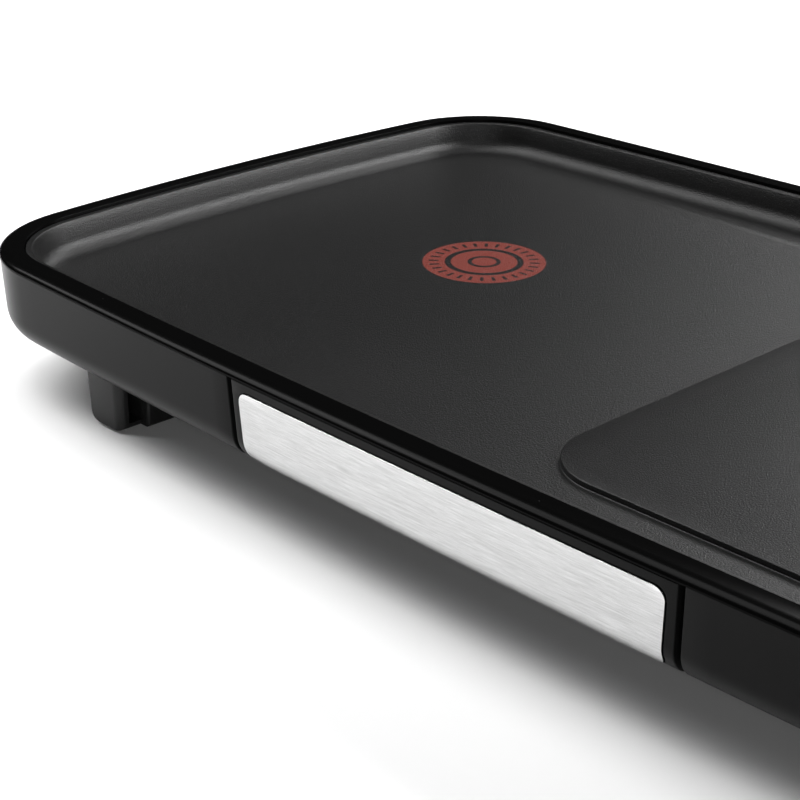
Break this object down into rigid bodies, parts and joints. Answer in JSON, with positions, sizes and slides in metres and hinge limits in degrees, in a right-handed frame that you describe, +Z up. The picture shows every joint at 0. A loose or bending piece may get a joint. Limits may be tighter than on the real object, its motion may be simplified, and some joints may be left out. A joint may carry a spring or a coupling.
{
  "type": "electric griddle",
  "caption": "Low electric griddle with a lift-off bowed plate, one raised half, a heat indicator, a side thermostat knob and a pull-out drip tray behind a steel-faced front.",
  "frame": {"origin": "on the surface the griddle stands on, under the centre of its overall box", "axes": "+X to the right along the long front, +Y to the back, +Z up; the steel-faced front faces -Y"},
  "size_m": [0.5554, 0.299, 0.056],
  "materials": {
    "satin_housing": "satin, fine moulded grain",
    "gloss_rim": "high gloss",
    "base_plastic": "matt moulded grain",
    "non_stick": "cast, dark non-stick coating with fine speckle, red heat indicator printed on it",
    "element_sheath": "heat-tinted sheath",
    "reflector_sheet": "rolled sheet",
    "ceramic": "unglazed",
    "zinc": "zinc plated",
    "tray_plastic": "satin",
    "pale_plastic": "satin",
    "lamp_red": "clear red lens",
    "copper": "drawn copper",
    "wire_brown": "silicone sleeve",
    "wire_blue": "silicone sleeve",
    "wire_green": "silicone sleeve",
    "rubber": "matt",
    "brushed_steel": "brushed along its length",
    "knob_plastic": "satin"
  },
  "bodies": {
    "base": {"housing_shell": "satin_housing", "rim_frame": "gloss_rim", "base_cover": "base_plastic", "heating_element": "element_sheath", "heat_reflector": "reflector_sheet", "element_support_front_left": "zinc", "element_support_front_right": "zinc", "element_support_rear_left": "zinc", "element_support_rear_right": "zinc", "element_terminal_front": "ceramic", "element_terminal_rear": "ceramic", "reflector_post_1": "ceramic", "reflector_post_2": "ceramic", "reflector_post_3": "ceramic", "reflector_post_4": "ceramic", "tray_rail_left": "reflector_sheet", "tray_rail_right": "reflector_sheet", "foot_front_left": "base_plastic", "foot_pad_front_left": "rubber", "foot_screw_front_left": "zinc", "foot_front_right": "base_plastic", "foot_pad_front_right": "rubber", "foot_screw_front_right": "zinc", "foot_rear_left": "base_plastic", "foot_pad_rear_left": "rubber", "foot_screw_rear_left": "zinc", "foot_rear_right": "base_plastic", "foot_pad_rear_right": "rubber", "foot_screw_rear_right": "zinc", "cover_screw_1": "zinc", "cover_screw_2": "zinc", "cover_screw_3": "zinc", "cover_screw_4": "zinc", "cover_screw_5": "zinc", "cover_screw_6": "zinc", "thermostat": "pale_plastic", "lamp_lens": "lamp_red", "cord_gland": "tray_plastic", "terminal_block": "pale_plastic", "sensor_bulb": "copper", "capillary_tube": "copper", "thermal_fuse": "ceramic", "lead_live": "wire_brown", "lead_neutral": "wire_blue", "lead_element": "wire_brown", "earth_strap": "wire_green"},
    "plate": {"cooking_plate": "non_stick"},
    "drawer": {"drip_tray": "tray_plastic", "drawer_front": "satin_housing", "steel_insert": "brushed_steel", "tray_screw_left": "zinc", "tray_screw_right": "zinc"},
    "knob": {"control_knob": "knob_plastic", "knob_shaft": "zinc"}
  },
  "joints": [
    {"name": "plate_lift", "type": "slide", "parent": "base", "child": "plate", "axis": [0, 0, 1], "range_m": [0, 0.06]},
    {"name": "drawer_slide", "type": "slide", "parent": "base", "child": "drawer", "axis": [0, -1, 0], "range_m": [0, 0.19]},
    {"name": "knob_turn", "type": "hinge", "parent": "base", "child": "knob", "pos_m": [0.2653, -0.07, 0.035], "axis": [1, 0, 0], "range_deg": [0, 270]}
  ]
}
